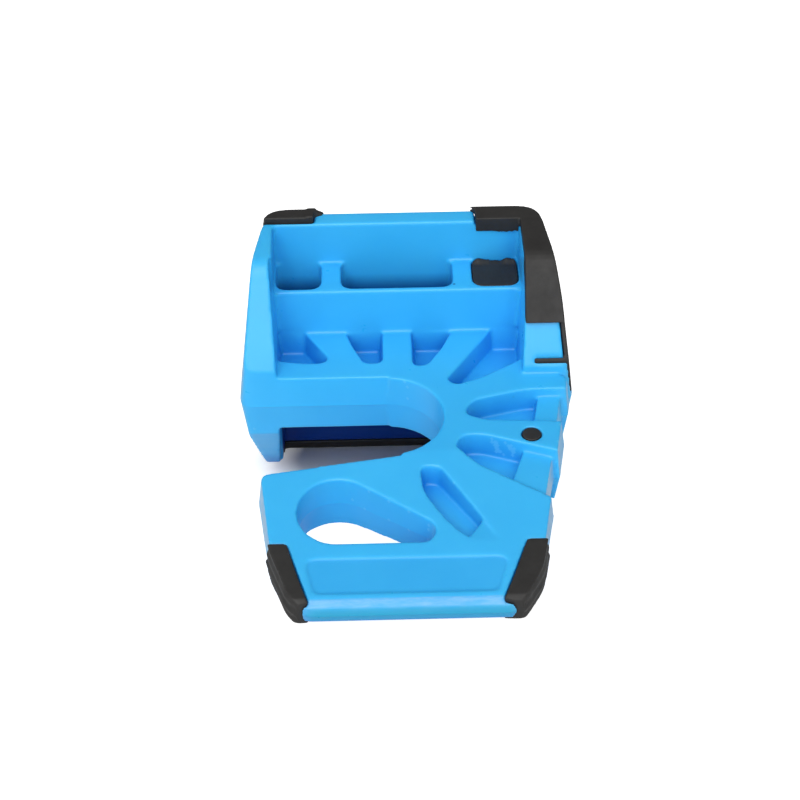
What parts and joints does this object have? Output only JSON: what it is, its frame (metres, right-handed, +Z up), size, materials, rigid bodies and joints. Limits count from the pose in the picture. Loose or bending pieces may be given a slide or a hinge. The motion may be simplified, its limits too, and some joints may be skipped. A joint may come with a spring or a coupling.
{
  "type": "door stop",
  "caption": "Three-way door stop: a ribbed plastic wedge tongue, a side slot for a hinge knuckle and a stepped box for the top of a door, with rubber grips.",
  "frame": {"origin": "on the floor the part rests on, below the centre of its bounding box seen from above", "axes": "+Z up from the floor, +Y from the nose of the tongue to the rear box, +X to the right when the tongue points at the viewer"},
  "size_m": [0.0762, 0.1056, 0.0675],
  "materials": {
    "blue_plastic": "satin",
    "black_rubber": "matte"
  },
  "bodies": {
    "root": {"body": "blue_plastic", "rear_right_grip": "black_rubber", "rear_left_cap": "black_rubber", "rear_foot_strip": "black_rubber", "left_nose_pad": "black_rubber", "right_nose_pad": "black_rubber", "well_plug": "black_rubber", "rib_plug": "black_rubber"}
  },
  "joints": []
}
